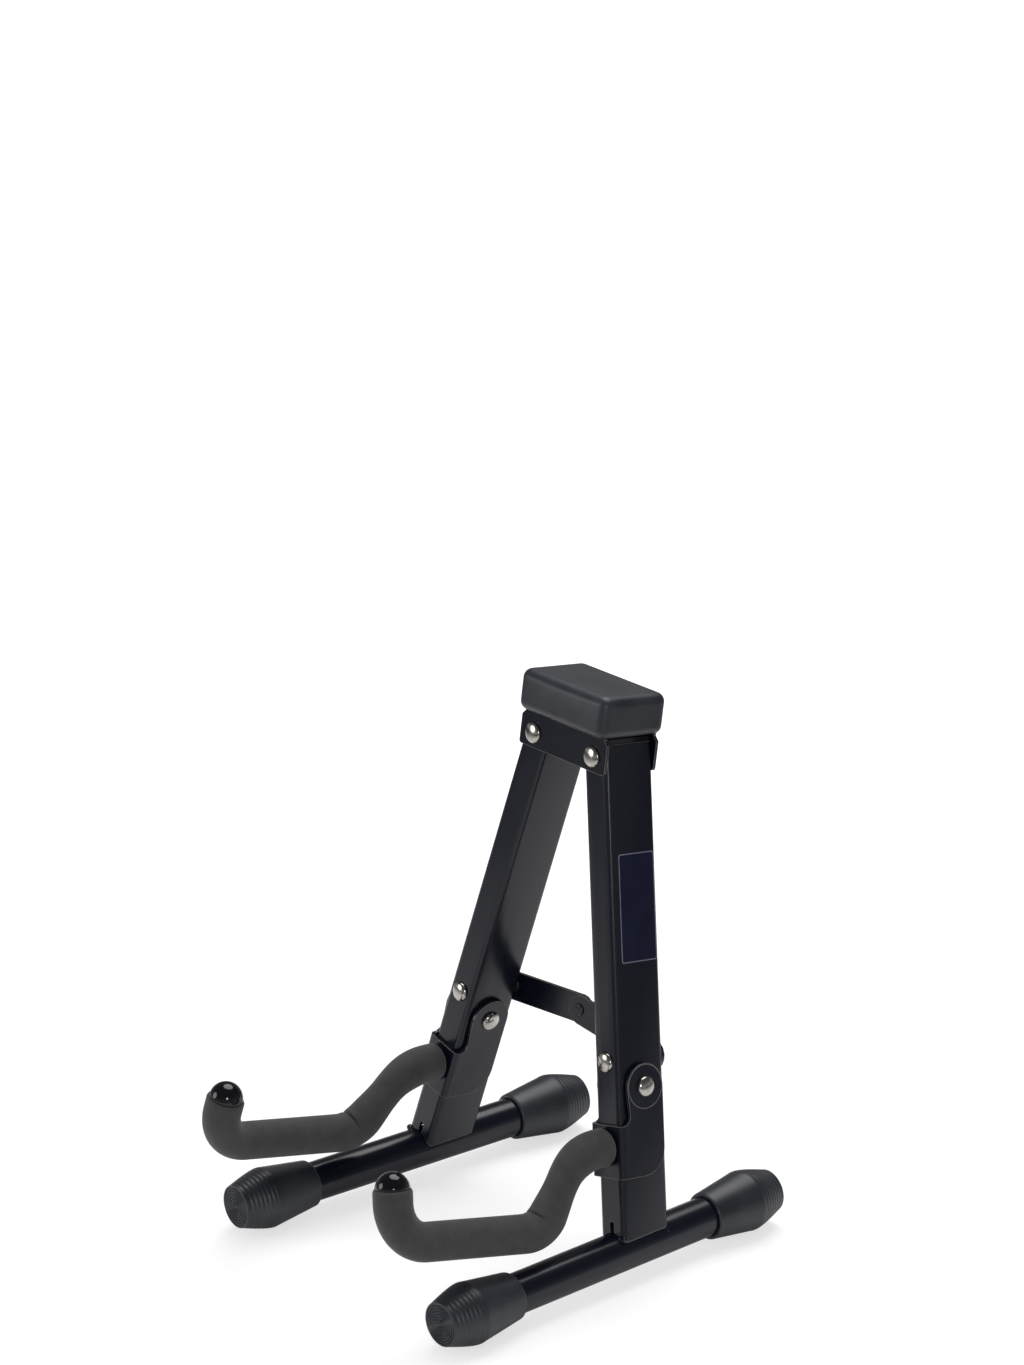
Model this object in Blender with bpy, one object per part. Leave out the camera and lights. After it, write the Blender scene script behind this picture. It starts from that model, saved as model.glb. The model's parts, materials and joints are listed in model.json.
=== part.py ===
"""A folding tabletop stand for a ukulele, modelled piece by piece in metres with +Z up.

Two rectangular columns lean in towards each other and back. Each is welded to a round foot tube that runs
front to back and ends in two rubber caps. A foam-covered arm folds up on a bracket at the front of each
column, a two-link brace spreads the columns, and a sheet-steel head with a rubber backrest carries both
column tops on two rivets. The front is -Y, and the stand rests on four flats at z = 0.

Sizes inside a leg are given as (across, back, up): across points to +X, back runs into the stand and up runs
along the column. Heights in a leg are measured from the foot tube's axis.
"""

import math

import bmesh
import bpy
from mathutils import Matrix, Vector

MM = 0.001
CLEAR = 0.3 * MM  # running clearance between pieces that touch
CUT_MARGIN = 5 * MM  # how far a cutter reaches past what it cuts

# Stance
LEG_LEAN = math.radians(13.2)  # each column leans in by this when the stand is open
RAKE = math.radians(8.3)  # the whole frame leans back by this
HEAD_PIVOT_OFFSET = 20.7 * MM  # middle of the stand to a head pivot
LEG_LENGTH = 227 * MM  # foot tube's axis to the head pivot, along the column

# Columns, of rectangular tube
COLUMN_WIDTH = 16.2 * MM
COLUMN_DEPTH = 28 * MM
COLUMN_WALL = 1.5 * MM
COLUMN_CORNER = 2.5 * MM
COLUMN_ABOVE_PIVOT = 5.2 * MM
COLUMN_NOTCH_WIDTH = 2.8 * MM  # the drain notch over the foot tube, in the front wall
COLUMN_NOTCH_RISE = 3 * MM
PLUG_SKIRT = 17 * MM
PLUG_LID = 2 * MM

# Feet
FOOT_RADIUS = 9.5 * MM
FOOT_WALL = 1.5 * MM
FOOT_FRONT = 118.5 * MM  # column's axis to the front cap's tip
FOOT_BACK = 86 * MM
CAP_LENGTH = 42 * MM
CAP_END_WALL = 5 * MM
CAP_TIP_RADIUS = 10.5 * MM
CAP_TIP_EDGE = 0.7 * MM
CAP_SHOULDER = 16 * MM  # tip to the widest ring
CAP_SHOULDER_CURVE = math.radians(55)  # how much the shoulder's outline turns on its way to the widest ring
CAP_REST_RADIUS = 14.6 * MM  # cap's axis to the flats of its widest ring, which meet the floor
CAP_REST_BAND = 1.6 * MM
CAP_COLLAR_RADIUS = 11.3 * MM
CAP_COLLAR_LIP = 1.2 * MM
CAP_FACETS = 28  # a multiple of four, so that one flat faces straight down

# Arm brackets, of bent sheet
ARM_PIVOT_UP = 74.8 * MM
BRACKET_SHEET = 1.4 * MM
BRACKET_BEND = 2.4 * MM
BRACKET_DROP = 41.4 * MM  # pivot to the bracket's bottom edge
BRACKET_PLATE_HEIGHT = 24.5 * MM
BRACKET_LOBE = 10.7 * MM
BRACKET_NECK_TAPER = 1.5 * MM
BRACKET_NECK_FILLET = 4 * MM
BRACKET_HEEL_RADIUS = 12 * MM
ARM_WASHER_THICKNESS = 0.5 * MM
ARM_WASHER_RADIUS = 8 * MM
ARM_RIVET_RADIUS = 3 * MM
ARM_RIVET_HEAD_RADIUS = 4.8 * MM
ARM_RIVET_HEAD_HEIGHT = 2.3 * MM
ARM_BUSH_WALL = 1.4 * MM

# Arms: a bent rod in a foam sleeve. Each bend is given by where its two straight runs meet, ahead of the
# bracket plate and below the arm's root, and by the bend's radius.
ARM_ROOT_UP = 14.6 * MM  # bracket's bottom edge to the arm's root
ARM_ROD_RADIUS = 4 * MM
SHOULDER_AHEAD = 19.5 * MM
SHOULDER_DROP = 1.4 * MM
SHOULDER_BEND = 28 * MM
HEEL_AHEAD = 41.3 * MM
HEEL_DROP = 33.5 * MM
HEEL_BEND = 15 * MM
TOE_AHEAD = 125.4 * MM
TOE_DROP = 25.8 * MM
TOE_BEND = 20 * MM
TIP_DROP = 1.3 * MM
FOAM_RADIUS = 9 * MM
FOAM_PINCH = 1.3 * MM  # how much thinner the foam is where it is stretched between the two bends
FOAM_SETBACK = 1.5 * MM  # bracket plate to the foam
BALL_RADIUS = 8 * MM
BALL_SOCKET_DEPTH = 5 * MM
ROD_SIDES = 8
FOAM_SIDES = 14

# Brace
BRACE_ABOVE_ARM_PIVOT = 11.9 * MM
BRACE_RISE = 4.4 * MM  # how far the middle pivot stands above the outer two when the stand is open
LINK_RADIUS = 7 * MM
LINK_THICKNESS = 1.6 * MM
BRACE_RIVET_RADIUS = 2.5 * MM
BRACE_RIVET_HEAD_RADIUS = 4.7 * MM
BRACE_RIVET_HEAD_HEIGHT = 2 * MM
MIDDLE_RIVET_RADIUS = 2 * MM
MIDDLE_RIVET_HEAD_RADIUS = 3.2 * MM
MIDDLE_RIVET_HEAD_HEIGHT = 1.2 * MM
SPACER_RADIUS = 5.5 * MM

# Head
HEAD_SHEET = 1.4 * MM
HEAD_HALF_WIDTH = 30 * MM
HEAD_BELOW_PIVOT = 7 * MM
HEAD_ABOVE_PIVOT = 7 * MM
HEAD_CHAMFER = 2.3 * MM
HEAD_NECK_HEIGHT = 6 * MM
HEAD_CORNER = 1.5 * MM
HEAD_RIVET_RADIUS = 3 * MM
HEAD_RIVET_HEAD_RADIUS = 5 * MM
HEAD_RIVET_HEAD_HEIGHT = 2 * MM
PAD_FRONT_WALL = 4 * MM
PAD_BACK_WALL = 2.6 * MM
PAD_SIDE_WALL = 2.1 * MM
PAD_TOP_WALL = 14 * MM
PAD_EDGE = 4.5 * MM
PAD_EDGE_STEPS = 4

# Places that follow from the sizes above
COLUMN_FRONT = -COLUMN_DEPTH / 2
COLUMN_BACK = COLUMN_DEPTH / 2
WASHER_GAP = ARM_WASHER_THICKNESS + 2 * CLEAR  # column's side to the bracket's ear
EAR_INNER = COLUMN_WIDTH / 2 + WASHER_GAP
EAR_OUTER = EAR_INNER + BRACKET_SHEET
PLATE_FRONT = COLUMN_FRONT - CLEAR - BRACKET_SHEET
BRACKET_BOTTOM = -BRACKET_DROP  # in the arm's own frame, which has its origin on the pivot
ARM_ROOT = BRACKET_BOTTOM + ARM_ROOT_UP
BRACE_PIVOT_UP = ARM_PIVOT_UP + BRACE_ABOVE_ARM_PIVOT
HEAD_HEIGHT = LEG_LENGTH * math.cos(LEG_LEAN)  # foot tube's axis to the head pivots, up the raked frame
BRACE_PIVOT_ACROSS = HEAD_PIVOT_OFFSET + (LEG_LENGTH - BRACE_PIVOT_UP) * math.sin(LEG_LEAN)
LINK_LENGTH = math.hypot(BRACE_PIVOT_ACROSS, BRACE_RISE)
LINK_SLOPE = math.atan2(BRACE_RISE, BRACE_PIVOT_ACROSS)
CHEEK_INNER = COLUMN_DEPTH / 2 + CLEAR
CHEEK_OUTER = CHEEK_INNER + HEAD_SHEET
HEAD_TOP = HEAD_ABOVE_PIVOT + HEAD_CHAMFER + HEAD_NECK_HEIGHT
SIDES = (("right", 1), ("left", -1))


def finish(name, colour, roughness, metallic=0.0):
    """A plain material with the piece's colour, roughness and metallic value."""
    material = bpy.data.materials.new(name)
    material.use_nodes = True
    shader = material.node_tree.nodes["Principled BSDF"]
    shader.inputs["Base Color"].default_value = (*colour, 1)
    shader.inputs["Roughness"].default_value = roughness
    shader.inputs["Metallic"].default_value = metallic
    material.diffuse_color = (*colour, 1)
    return material


def frame(name, parent, place, turn=None):
    """An empty that carries the pieces of one moving body, or a group of pieces."""
    empty = bpy.data.objects.new(name, None)
    bpy.context.scene.collection.objects.link(empty)
    empty.parent = parent
    empty.location = place
    empty.rotation_euler = (turn or Matrix.Identity(3)).to_euler()
    return empty


def face_outwards(solid):
    """Turns all faces of a closed solid to point out."""
    bmesh.ops.recalc_face_normals(solid, faces=solid.faces)
    if solid.calc_volume(signed=True) < 0:
        bmesh.ops.reverse_faces(solid, faces=solid.faces)


def piece(name, solid, parent, material, sharp_angle=35):
    """One object of the stand from a bmesh in its parent's own coordinates."""
    face_outwards(solid)
    mesh = bpy.data.meshes.new(name)
    solid.to_mesh(mesh)
    solid.free()
    mesh.shade_smooth()
    mesh.set_sharp_from_angle(angle=math.radians(sharp_angle))
    mesh.materials.append(material)
    part = bpy.data.objects.new(name, mesh)
    bpy.context.scene.collection.objects.link(part)
    part.parent = parent
    return part


def combine(part, solid, operation="DIFFERENCE"):
    """Cuts the part with a hidden solid given in the same coordinates, or keeps only what they share."""
    face_outwards(solid)
    mesh = bpy.data.meshes.new(part.name + "_cutter")
    solid.to_mesh(mesh)
    solid.free()
    cutter = bpy.data.objects.new(mesh.name, mesh)
    bpy.context.scene.collection.objects.link(cutter)
    cutter.parent = part.parent
    cutter.hide_render = True
    cutter.display_type = "WIRE"
    modifier = part.modifiers.new(operation.lower(), "BOOLEAN")
    modifier.operation = operation
    modifier.solver = "EXACT"
    modifier.object = cutter


def filleted(corners, steps, closed=True):
    """Points of an outline or a path whose corners (x, y, radius) are rounded with arcs."""
    points = []
    count = len(corners)
    for index, (x, y, radius) in enumerate(corners):
        corner = Vector((x, y))
        at_end = not closed and index in (0, count - 1)
        if radius == 0 or at_end:
            points.append(corner)
            continue
        before = (Vector(corners[index - 1][:2]) - corner).normalized()
        after = (Vector(corners[(index + 1) % count][:2]) - corner).normalized()
        half_angle = before.angle(after) / 2
        setback = radius / math.tan(half_angle)
        centre = corner + (before + after).normalized() * radius / math.sin(half_angle)
        start = corner + before * setback - centre
        sweep = (math.pi - 2 * half_angle) * math.copysign(1, before.cross(after))
        for step in range(steps + 1):
            points.append(centre + Matrix.Rotation(-sweep * step / steps, 2) @ start)
    return points


def arc(centre, radius, start, end, steps):
    """Points along an arc, with its angles in degrees."""
    points = []
    for step in range(steps + 1):
        angle = math.radians(start + (end - start) * step / steps)
        points.append(Vector((centre[0] + radius * math.cos(angle), centre[1] + radius * math.sin(angle))))
    return points


def extruded(outline, start, end, axis="Z"):
    """A prism of a closed outline between two distances along an axis."""
    solid = bmesh.new()
    face = solid.faces.new([solid.verts.new((x, y, start)) for x, y in outline])
    lifted = bmesh.ops.extrude_face_region(solid, geom=[face])["geom"]
    moved = [vert for vert in lifted if isinstance(vert, bmesh.types.BMVert)]
    bmesh.ops.translate(solid, verts=moved, vec=(0, 0, end - start))
    if axis != "Z":
        # X takes the outline's (x, y) to (back, up), and Y takes them to (across, up)
        turned_axes = {"X": ((0, 0, 1), (1, 0, 0), (0, 1, 0)), "Y": ((1, 0, 0), (0, 0, 1), (0, 1, 0))}
        solid.transform(Matrix(turned_axes[axis]).to_4x4())
    return solid


def box(low, high):
    """A plain block between two corners."""
    outline = [(low[0], low[1]), (high[0], low[1]), (high[0], high[1]), (low[0], high[1])]
    return extruded(outline, low[2], high[2])


def turned(profile, facets=24, closed=True, half_step=False):
    """A solid turned about Z from a profile of (radius, along) points."""
    solid = bmesh.new()
    verts = [solid.verts.new((radius, 0, along)) for radius, along in profile]
    pairs = list(zip(verts, verts[1:]))
    if closed:
        pairs.append((verts[-1], verts[0]))
    edges = [solid.edges.new(pair) for pair in pairs]
    whole_turn = {"cent": (0, 0, 0), "axis": (0, 0, 1), "angle": 2 * math.pi}
    bmesh.ops.spin(solid, geom=verts + edges, steps=facets, use_merge=True, **whole_turn)
    bmesh.ops.remove_doubles(solid, verts=solid.verts, dist=1e-6)
    if half_step:
        solid.transform(Matrix.Rotation(math.pi / facets, 4, "Z"))
    return solid


def pointed(solid, direction, place=(0, 0, 0)):
    """The solid with its Z axis turned to a direction and then moved."""
    turn = Vector((0, 0, 1)).rotation_difference(Vector(direction)).to_matrix().to_4x4()
    solid.transform(Matrix.Translation(place) @ turn)
    return solid


def ring(inner, outer, start, end, facets=24):
    """A plain washer, bush or tube about Z."""
    return turned([(inner, start), (outer, start), (outer, end), (inner, end)], facets)


def rod(radius, start, end, facets=24):
    """A plain round bar about Z."""
    return turned([(0, start), (radius, start), (radius, end), (0, end)], facets, closed=False)


def rivet(shaft_radius, head_radius, head_height, bottom, top, facets=16):
    """A rivet about Z with a dome head beyond each end of its grip."""
    dome_steps = 3
    profile = []
    for end, way in ((bottom, -1), (top, 1)):
        dome = []
        for step in range(dome_steps + 1):
            angle = math.pi / 2 * step / dome_steps
            dome.append((head_radius * math.sin(angle), end + way * head_height * math.cos(angle)))
        dome.append((shaft_radius, end))
        profile += dome if way < 0 else dome[::-1]
    return turned(profile, facets, closed=False)


def swept(path, radius_at, sides, bore=0.0):
    """A tube along a path in the (back, up) plane. radius_at takes the share of the path's length passed."""
    solid = bmesh.new()
    lengths = [0.0]
    for before, after in zip(path, path[1:]):
        lengths.append(lengths[-1] + (after - before).length)
    rings = []
    for index, point in enumerate(path):
        ahead = (path[min(index + 1, len(path) - 1)] - path[max(index - 1, 0)]).normalized()
        normal = Vector((0, -ahead.y, ahead.x))
        centre = Vector((0, point.x, point.y))
        layer = []
        for radius in [radius_at(lengths[index] / lengths[-1])] + ([bore] if bore else []):
            turns = [2 * math.pi * side / sides for side in range(sides)]
            offsets = [Vector((math.cos(turn), 0, 0)) + normal * math.sin(turn) for turn in turns]
            layer.append([solid.verts.new(centre + offset * radius) for offset in offsets])
        rings.append(layer)
    for lower, upper in zip(rings, rings[1:]):
        for wall_below, wall_above in zip(lower, upper):
            for side in range(sides):
                after = (side + 1) % sides
                solid.faces.new((wall_below[side], wall_below[after], wall_above[after], wall_above[side]))
    for layer in (rings[0], rings[-1]):
        if not bore:
            solid.faces.new(layer[0])
            continue
        outer, inner = layer
        for side in range(sides):
            after = (side + 1) % sides
            solid.faces.new((outer[side], outer[after], inner[after], inner[side]))
    return solid


def make_materials():
    """The finishes, by name."""
    return {
        "painted_steel": finish("painted_steel", (0.012, 0.013, 0.017), 0.38),
        "foam": finish("foam", (0.045, 0.045, 0.048), 0.95),
        "rubber": finish("rubber", (0.02, 0.021, 0.024), 0.6),
        "plastic": finish("plastic", (0.008, 0.008, 0.009), 0.15),
        "bright_steel": finish("bright_steel", (0.62, 0.6, 0.57), 0.22, 1.0),
        "nylon": finish("nylon", (0.6, 0.58, 0.52), 0.5),
    }


def foot_turn(leg_turn):
    """The foot's frame in the leg's: Z forward and level, Y straight up, in the plane of the leg."""
    across = leg_turn @ Vector((1, 0, 0))
    upright = Vector((0, 0, 1))
    forward = across.cross(upright).normalized()
    world = Matrix((upright.cross(forward), upright, forward)).transposed()
    return leg_turn.transposed() @ world


def rounded_rectangle(width, depth, corner, steps=4):
    """A rectangle about the origin with rounded corners."""
    signs = ((-1, -1), (1, -1), (1, 1), (-1, 1))
    return filleted([(x * width / 2, y * depth / 2, corner) for x, y in signs], steps)


def column(side_name, leg, foot_place, foot_axis, materials):
    """The rectangular tube, coped over the foot tube and drilled for its three rivets, and its top plug."""
    top = COLUMN_ABOVE_PIVOT
    bottom = -LEG_LENGTH
    outline = rounded_rectangle(COLUMN_WIDTH, COLUMN_DEPTH, COLUMN_CORNER)
    tube = piece("column_tube_" + side_name, extruded(outline, bottom, top), leg, materials["painted_steel"])
    inner_width = COLUMN_WIDTH - 2 * COLUMN_WALL
    inner_depth = COLUMN_DEPTH - 2 * COLUMN_WALL
    inner_corner = COLUMN_CORNER - COLUMN_WALL
    hollow = rounded_rectangle(inner_width, inner_depth, inner_corner, steps=2)
    combine(tube, extruded(hollow, bottom - CUT_MARGIN, top + CUT_MARGIN))
    cope = rod(FOOT_RADIUS + CLEAR, -COLUMN_DEPTH, COLUMN_DEPTH, facets=32)
    combine(tube, pointed(cope, foot_axis, foot_place))
    notch_top = bottom + FOOT_RADIUS + CLEAR + COLUMN_NOTCH_RISE
    notch_low = (-COLUMN_NOTCH_WIDTH / 2, COLUMN_FRONT - CUT_MARGIN, bottom - CUT_MARGIN)
    combine(tube, box(notch_low, (COLUMN_NOTCH_WIDTH / 2, COLUMN_FRONT + COLUMN_WALL + CLEAR, notch_top)))
    across_hole = rod(ARM_RIVET_RADIUS + CLEAR, -COLUMN_WIDTH, COLUMN_WIDTH)
    combine(tube, pointed(across_hole, (1, 0, 0), (0, 0, ARM_PIVOT_UP - LEG_LENGTH)))
    for radius, up in ((BRACE_RIVET_RADIUS, BRACE_PIVOT_UP - LEG_LENGTH), (HEAD_RIVET_RADIUS, 0)):
        through_hole = rod(radius + CLEAR, -COLUMN_DEPTH, COLUMN_DEPTH)
        combine(tube, pointed(through_hole, (0, 1, 0), (0, 0, up)))
    plug_profile = rounded_rectangle(inner_width - 2 * CLEAR, inner_depth - 2 * CLEAR, inner_corner, steps=2)
    skirt = extruded(plug_profile, top - PLUG_SKIRT, top + CLEAR + PLUG_LID / 2)
    plug = piece("column_top_plug_" + side_name, skirt, leg, materials["plastic"])
    lid = rounded_rectangle(COLUMN_WIDTH, COLUMN_DEPTH, COLUMN_CORNER)
    combine(plug, extruded(lid, top + CLEAR, top + CLEAR + PLUG_LID), "UNION")
    combine(plug, pointed(rod(HEAD_RIVET_RADIUS + CLEAR, -COLUMN_DEPTH, COLUMN_DEPTH), (0, 1, 0)))


def cap_profile():
    """Half the section of a foot cap, from its tip at 0 to its collar, with the bore for the tube."""
    rest = CAP_REST_RADIUS / math.cos(math.pi / CAP_FACETS)  # the ring's corners stand out from its flats
    shoulder_steps = 4
    shoulder = []
    for step in range(1, shoulder_steps + 1):
        share = step / shoulder_steps
        swell = math.sin(CAP_SHOULDER_CURVE * share) / math.sin(CAP_SHOULDER_CURVE)
        along = CAP_TIP_EDGE + (CAP_SHOULDER - CAP_TIP_EDGE) * share
        shoulder.append((CAP_TIP_RADIUS + (rest - CAP_TIP_RADIUS) * swell, along))
    bore = FOOT_RADIUS + CLEAR
    return [
        (0, 0),
        (CAP_TIP_RADIUS - CAP_TIP_EDGE, 0),
        (CAP_TIP_RADIUS, CAP_TIP_EDGE),
        *shoulder,
        (rest, CAP_SHOULDER + CAP_REST_BAND),
        (CAP_COLLAR_RADIUS, CAP_LENGTH - CAP_COLLAR_LIP),
        (CAP_COLLAR_RADIUS - CAP_COLLAR_LIP / 2, CAP_LENGTH),
        (bore, CAP_LENGTH),
        (bore, CAP_END_WALL),
        (0, CAP_END_WALL),
    ]


def foot(side_name, leg, foot_place, turn, materials):
    """The foot tube and its two rubber caps, in a level frame whose Z runs forward."""
    level = frame("foot_frame_" + side_name, leg, foot_place, turn)
    tube_front = FOOT_FRONT - CAP_END_WALL - CLEAR
    tube_back = -(FOOT_BACK - CAP_END_WALL - CLEAR)
    tube = ring(FOOT_RADIUS - FOOT_WALL, FOOT_RADIUS, tube_back, tube_front, facets=32)
    piece("foot_tube_" + side_name, tube, level, materials["painted_steel"])
    for end, way, reach in (("front", -1, FOOT_FRONT), ("back", 1, FOOT_BACK)):
        cap = turned(cap_profile(), CAP_FACETS, closed=False, half_step=True)
        if way < 0:
            cap.transform(Matrix.Rotation(math.pi, 4, "Y"))
        cap.transform(Matrix.Translation((0, 0, -way * reach)))
        piece("foot_cap_%s_%s" % (end, side_name), cap, level, materials["rubber"])


def arm_bracket(side_name, arm, materials):
    """The sheet-steel saddle: a plate on the column's front and an ear on each side, bent from one blank."""
    reach = BRACKET_LOBE + CUT_MARGIN  # the blank runs past its outline, which then trims it
    outer = [(EAR_OUTER, reach, 0), (EAR_OUTER, PLATE_FRONT, BRACKET_BEND)]
    outer += [(-x, y, radius) for x, y, radius in outer[::-1]]
    plate_back = PLATE_FRONT + BRACKET_SHEET
    inner_bend = BRACKET_BEND - BRACKET_SHEET
    inner = [(-EAR_INNER, reach, 0), (-EAR_INNER, plate_back, inner_bend)]
    inner += [(-x, y, radius) for x, y, radius in inner[::-1]]
    channel = extruded(filleted(outer + inner, 4), BRACKET_BOTTOM - CUT_MARGIN, reach)
    bracket = piece("arm_bracket_" + side_name, channel, arm, materials["painted_steel"])
    plate_top = BRACKET_BOTTOM + BRACKET_PLATE_HEIGHT
    ahead = PLATE_FRONT - CUT_MARGIN
    neck = [
        (ahead, BRACKET_BOTTOM, 0),
        (ahead, plate_top, 0),
        (-BRACKET_LOBE + BRACKET_NECK_TAPER, plate_top, BRACKET_NECK_FILLET),
        (-BRACKET_LOBE, 0, 0),
    ]
    heel = [
        (BRACKET_LOBE, 0, 0),
        (BRACKET_LOBE, BRACKET_BOTTOM, BRACKET_HEEL_RADIUS),
        (ahead, BRACKET_BOTTOM, 0),
    ]
    side_outline = filleted(neck, 5, closed=False)
    side_outline += arc((0, 0), BRACKET_LOBE, 180, 0, 12)[1:-1]
    side_outline += filleted(heel, 6, closed=False)[:-1]
    wide = EAR_OUTER + CUT_MARGIN
    combine(bracket, extruded(side_outline, -wide, wide, "X"), "INTERSECT")
    combine(bracket, pointed(rod(ARM_RIVET_RADIUS + CLEAR, -wide, wide), (1, 0, 0)))
    rod_hole = rod(ARM_ROD_RADIUS + CLEAR, -CUT_MARGIN, CUT_MARGIN)
    combine(bracket, pointed(rod_hole, (0, 1, 0), (0, PLATE_FRONT, ARM_ROOT)))


def arm_corners(start):
    """The arm's centreline in (back, up) as corners with bend radii, from a start on its first run."""
    return [
        (start, ARM_ROOT, 0),
        (PLATE_FRONT - SHOULDER_AHEAD, ARM_ROOT - SHOULDER_DROP, SHOULDER_BEND),
        (PLATE_FRONT - HEEL_AHEAD, ARM_ROOT - HEEL_DROP, HEEL_BEND),
        (PLATE_FRONT - TOE_AHEAD, ARM_ROOT - TOE_DROP, TOE_BEND),
    ]


def foam_radius(share):
    """The sleeve's radius along its length: thinner where the shoulder and heel bends stretch it."""
    drop_start, drop_end = 0.08, 0.30
    if not drop_start < share < drop_end:
        return FOAM_RADIUS
    wave = math.sin(math.pi * (share - drop_start) / (drop_end - drop_start))
    return FOAM_RADIUS - FOAM_PINCH * wave * wave


def arm(side_name, side, leg, materials):
    """The folding arm: bracket, rod, foam and ball on the arm's frame, with its rivet, bush and washers."""
    carrier = frame("arm_frame_" + side_name, leg, (0, 0, ARM_PIVOT_UP - LEG_LENGTH))
    arm_bracket(side_name, carrier, materials)
    tip_back = PLATE_FRONT - TOE_AHEAD
    rim = ARM_ROOT - TIP_DROP
    rod_start = PLATE_FRONT + BRACKET_SHEET
    rod_end = (tip_back, rim + BALL_SOCKET_DEPTH - CLEAR, 0)
    rod_path = filleted(arm_corners(rod_start) + [rod_end], 6, closed=False)
    steel = swept(rod_path, lambda share: ARM_ROD_RADIUS, ROD_SIDES)
    piece("arm_rod_" + side_name, steel, carrier, materials["painted_steel"])
    foam_path = filleted(arm_corners(PLATE_FRONT - FOAM_SETBACK) + [(tip_back, rim, 0)], 7, closed=False)
    foam = swept(foam_path, foam_radius, FOAM_SIDES, bore=ARM_ROD_RADIUS + CLEAR)
    piece("foam_sleeve_" + side_name, foam, carrier, materials["foam"], sharp_angle=60)
    dome_steps = 6
    dome = [(0, BALL_RADIUS)]
    for step in range(1, dome_steps + 1):
        angle = math.pi / 2 * step / dome_steps
        dome.append((BALL_RADIUS * math.sin(angle), BALL_RADIUS * math.cos(angle)))
    socket = ARM_ROD_RADIUS + CLEAR
    ball_profile = dome[:-1] + [(BALL_RADIUS, CLEAR), (socket, CLEAR), (socket, BALL_SOCKET_DEPTH)]
    ball = turned(ball_profile + [(0, BALL_SOCKET_DEPTH)], 20, closed=False)
    ball.transform(Matrix.Translation((0, tip_back, rim)))
    piece("arm_ball_cap_" + side_name, ball, carrier, materials["plastic"])

    grip = EAR_OUTER + CLEAR
    pivot = (0, 0, ARM_PIVOT_UP - LEG_LENGTH)
    pin = rivet(ARM_RIVET_RADIUS, ARM_RIVET_HEAD_RADIUS, ARM_RIVET_HEAD_HEIGHT, -grip, grip)
    piece("arm_pivot_rivet_" + side_name, pointed(pin, (1, 0, 0), pivot), leg, materials["bright_steel"])
    bore = ARM_RIVET_RADIUS + CLEAR
    half_bush = COLUMN_WIDTH / 2 - COLUMN_WALL - CLEAR
    bush = pointed(ring(bore, bore + ARM_BUSH_WALL, -half_bush, half_bush), (1, 0, 0), pivot)
    piece("arm_pivot_bush_" + side_name, bush, leg, materials["nylon"])
    washer_start = COLUMN_WIDTH / 2 + CLEAR
    for place, way in (("outer", side), ("inner", -side)):
        washer = ring(bore, ARM_WASHER_RADIUS, washer_start, washer_start + ARM_WASHER_THICKNESS)
        name = "arm_washer_%s_%s" % (place, side_name)
        piece(name, pointed(washer, (way, 0, 0), pivot), leg, materials["nylon"])


def stadium(length, radius, steps=8):
    """The outline of a link with round ends, from its first hole at 0 to its second at length."""
    return arc((0, 0), radius, 90, 270, steps) + arc((length, 0), radius, -90, 90, steps)


def brace(side_name, side, leg, materials):
    """One link of the brace and the rivet that carries it. The left link lies behind the right one."""
    layer = COLUMN_BACK + CLEAR
    if side < 0:
        layer += LINK_THICKNESS + CLEAR
    angle = LINK_SLOPE + LEG_LEAN
    turn = Matrix.Rotation(math.pi + angle if side > 0 else -angle, 3, "Y")
    place = (0, layer, BRACE_PIVOT_UP - LEG_LENGTH)
    carrier = frame("link_frame_" + side_name, leg, place, turn)
    bar = extruded(stadium(LINK_LENGTH, LINK_RADIUS), 0, LINK_THICKNESS, "Y")
    link = piece("brace_link_" + side_name, bar, carrier, materials["painted_steel"])
    for radius, along in ((BRACE_RIVET_RADIUS, 0), (MIDDLE_RIVET_RADIUS, LINK_LENGTH)):
        hole = rod(radius + CLEAR, -CUT_MARGIN, CUT_MARGIN)
        combine(link, pointed(hole, (0, 1, 0), (along, 0, 0)))

    # The middle rivet is parted between the links, so that each half stays with its own link.
    stub = MIDDLE_RIVET_RADIUS
    head = MIDDLE_RIVET_HEAD_RADIUS
    tall = MIDDLE_RIVET_HEAD_HEIGHT
    parting = CLEAR / 2
    half = [(0, parting), (stub, parting), (stub, LINK_THICKNESS + CLEAR), (head, LINK_THICKNESS + CLEAR)]
    half += [(head * 0.8, LINK_THICKNESS + CLEAR + tall * 0.7), (0, LINK_THICKNESS + CLEAR + tall)]
    outward = -1 if side > 0 else 1
    seam = LINK_THICKNESS if side > 0 else 0
    stud = pointed(turned(half, 20, closed=False), (0, outward, 0), (LINK_LENGTH, seam, 0))
    piece("brace_middle_rivet_" + side_name, stud, carrier, materials["painted_steel"])

    start = COLUMN_FRONT - CLEAR
    end = layer + LINK_THICKNESS + CLEAR
    pin = rivet(BRACE_RIVET_RADIUS, BRACE_RIVET_HEAD_RADIUS, BRACE_RIVET_HEAD_HEIGHT, start, end)
    pivot = (0, 0, BRACE_PIVOT_UP - LEG_LENGTH)
    piece("brace_rivet_" + side_name, pointed(pin, (0, 1, 0), pivot), leg, materials["bright_steel"])
    if side < 0:
        spacer = ring(BRACE_RIVET_RADIUS + CLEAR, SPACER_RADIUS, COLUMN_BACK + CLEAR, layer - CLEAR)
        piece("brace_spacer_" + side_name, pointed(spacer, (0, 1, 0), pivot), leg, materials["bright_steel"])


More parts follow.
